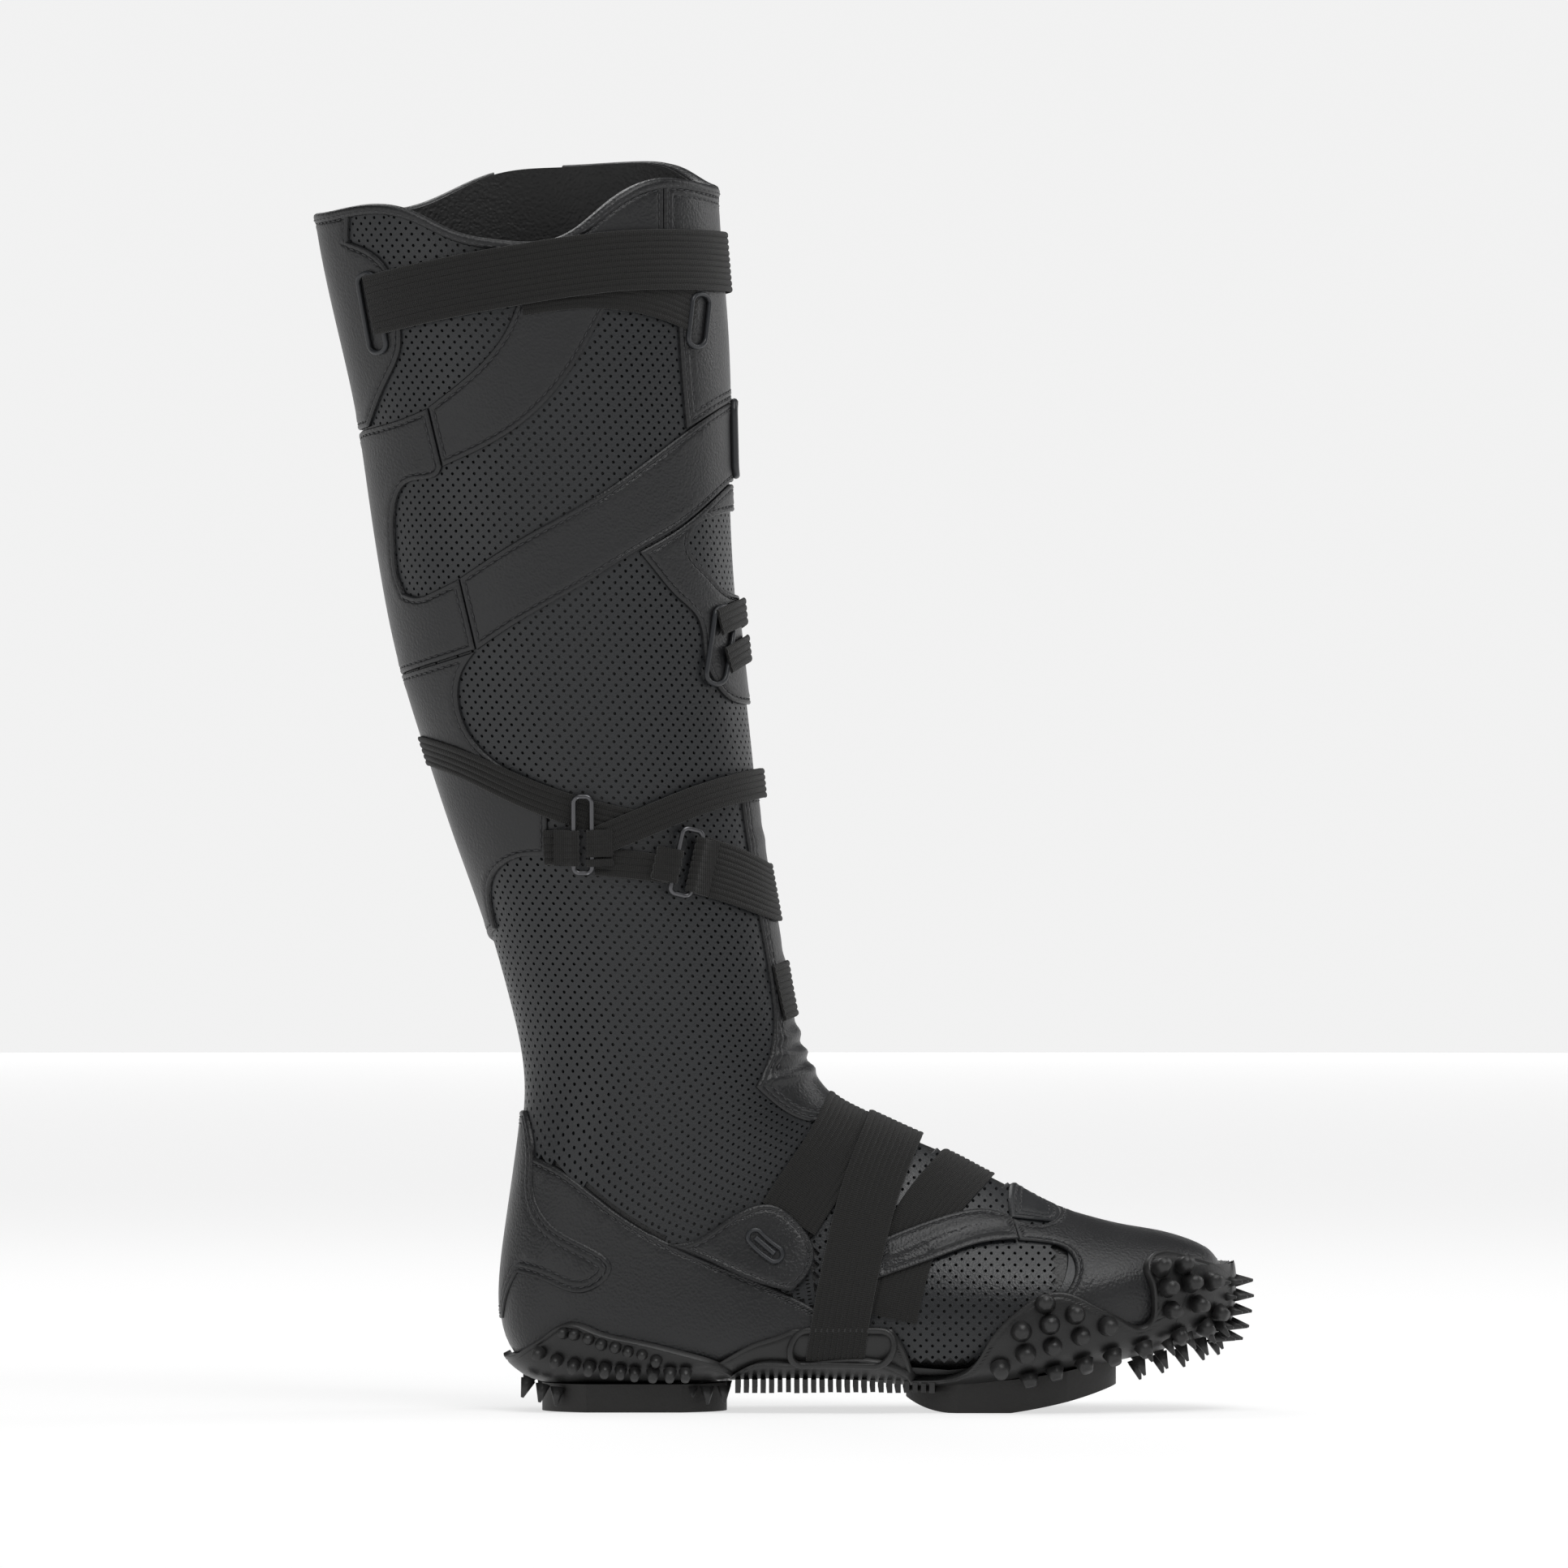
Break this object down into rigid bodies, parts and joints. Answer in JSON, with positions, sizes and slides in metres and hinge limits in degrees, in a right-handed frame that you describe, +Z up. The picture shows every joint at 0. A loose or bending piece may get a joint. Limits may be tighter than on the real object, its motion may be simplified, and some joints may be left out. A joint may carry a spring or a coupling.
{
  "type": "riding boot",
  "caption": "Tall black leather riding boot with perforated panels, elastic cross straps on two wire rings, side zip and studded rubber sole.",
  "frame": {"origin": "centre of the heel pad's flat underside, on the ground", "axes": "+X towards the toe, -Y the outer (lateral) side, +Z up the leg"},
  "size_m": [0.3278, 0.1073, 0.447],
  "materials": {
    "smooth_leather": "fine grain, satin",
    "perforated_leather": "punched, soft satin",
    "lining": "matte",
    "elastic": "ribbed, matte",
    "hard_trim": "satin",
    "ring_metal": "dark satin",
    "zip_tape": "woven",
    "zip_metal": "dark",
    "sole_rubber": "matte",
    "pad_rubber": "matte",
    "midsole_foam": "matte",
    "footbed_foam": "matte",
    "board": "matte",
    "shank_steel": "satin",
    "stiffener": "matte"
  },
  "bodies": {
    "boot": {"lining": "lining", "leg_lateral": "perforated_leather", "leg_medial_front": "perforated_leather", "leg_medial_rear": "perforated_leather", "flex_panel_front": "perforated_leather", "vamp": "perforated_leather", "toe_box": "smooth_leather", "heel_quarter": "smooth_leather", "rear_calf_panel": "smooth_leather", "front_placket": "smooth_leather", "collar_panel": "smooth_leather", "swirl_band": "smooth_leather", "rear_mid_panel": "smooth_leather", "diagonal_band": "smooth_leather", "knee_overlay": "smooth_leather", "lower_back_panel": "smooth_leather", "heel_overlay": "smooth_leather", "ankle_wing": "smooth_leather", "side_band": "smooth_leather", "throat_end": "perforated_leather", "toe_cap": "smooth_leather", "medial_side_panel": "smooth_leather", "collar_binding": "smooth_leather", "zip_guard_front": "smooth_leather", "zip_guard_rear": "smooth_leather", "grommet_calf_rear": "hard_trim", "grommet_calf_front": "hard_trim", "grommet_shin": "hard_trim", "ankle_pill": "hard_trim", "strap_calf": "elastic", "shin_elastics": "elastic", "strap_cross_upper": "elastic", "strap_cross_lower": "elastic", "strap_link": "elastic", "strap_ankle": "elastic", "ring_tab": "elastic", "strap_instep_rear": "elastic", "strap_instep_middle": "elastic", "strap_instep_front": "elastic", "zip_tape": "zip_tape", "zip_chain": "zip_metal", "zip_underlap": "zip_tape", "outsole": "sole_rubber", "midsole": "midsole_foam", "saddle": "sole_rubber", "heel_pad": "pad_rubber", "forefoot_pad": "pad_rubber", "heel_studs": "sole_rubber", "toe_studs": "sole_rubber", "arch_ribs": "pad_rubber", "footbed": "footbed_foam", "lasting_board": "board", "shank": "shank_steel", "heel_stiffener": "stiffener", "toe_puff": "stiffener"},
    "slider": {"zip_slider": "zip_metal"},
    "puller": {"zip_puller": "zip_metal"},
    "rear_ring": {"ring_rear": "ring_metal"},
    "front_ring": {"ring_front": "ring_metal"}
  },
  "joints": [
    {"name": "zip_slide", "type": "slide", "parent": "boot", "child": "slider", "axis": [0.134, -0.0426, -0.9901], "range_m": [0, 0.3]},
    {"name": "puller_flip", "type": "hinge", "parent": "slider", "child": "puller", "pos_m": [-0.03601, 0.05319, 0.42294], "axis": [0.9907, -0.0182, 0.1349], "range_deg": [0, 150]},
    {"name": "rear_ring_swing", "type": "hinge", "parent": "boot", "child": "rear_ring", "pos_m": [-0.02119, -0.04385, 0.2055], "axis": [-0.0051, -0.0814, 0.9967], "range_deg": [-4, 4]},
    {"name": "front_ring_swing", "type": "hinge", "parent": "boot", "child": "front_ring", "pos_m": [0.0153, -0.03968, 0.19671], "axis": [0.2113, 0.1067, 0.9716], "range_deg": [-4, 4]}
  ]
}
